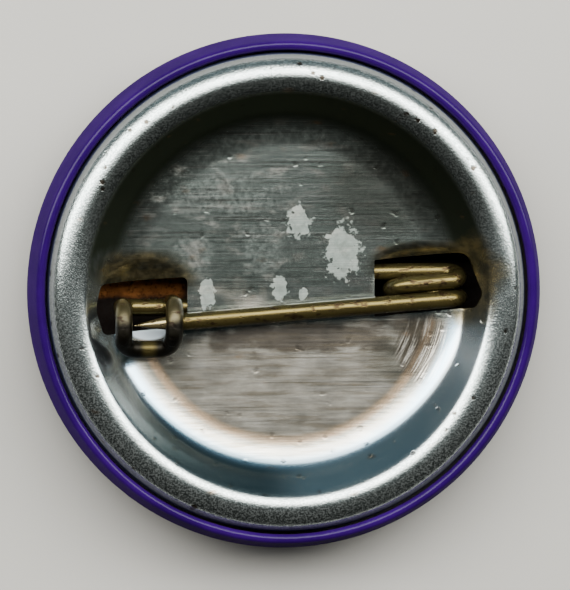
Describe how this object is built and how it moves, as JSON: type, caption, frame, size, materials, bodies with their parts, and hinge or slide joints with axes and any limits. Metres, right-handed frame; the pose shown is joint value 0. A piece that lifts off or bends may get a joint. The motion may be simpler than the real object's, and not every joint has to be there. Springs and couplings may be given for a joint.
{
  "type": "button badge",
  "caption": "Round pin-back button badge: domed printed front crimped over a dished steel back, with a one-piece spring wire pin, coil and catch.",
  "frame": {"origin": "middle of the front face, on the surface that the badge lies on", "axes": "+Z out of the back, +X from the catch towards the coil, +Y across the pin"},
  "size_m": [0.0254, 0.0254, 0.0053],
  "materials": {
    "shell_steel": "tinned sheet steel",
    "print": "purple printed paper",
    "film": "clear glossy film over purple print",
    "plate_steel": "tinned steel with a grainy rim, stains and fine scratches",
    "wire_brass": "tarnished brass wire, worn bright along the top"
  },
  "bodies": {
    "badge": {"front_shell": "shell_steel", "print_paper": "print", "clear_film": "film", "back_plate": "plate_steel", "base_wire": "wire_brass", "catch_hook": "wire_brass"},
    "coil": {"spring_coil": "wire_brass"},
    "pin": {"pin_arm": "wire_brass", "pin_point": "wire_brass"}
  },
  "joints": [
    {"name": "pin_sideways", "type": "hinge", "parent": "badge", "child": "coil", "pos_m": [0.00796, 0.00073, 0.00278], "axis": [0, 0, 1], "range_deg": [0, 10], "stiffness_Nm_per_rad": 0.002, "deforming": ["spring_coil"]},
    {"name": "pin_open", "type": "hinge", "parent": "coil", "child": "pin", "pos_m": [0.00777, -0.0004, 0.0025], "axis": [-0.078, 0.997, 0], "range_deg": [0, 60], "deforming": ["pin_point"]}
  ]
}
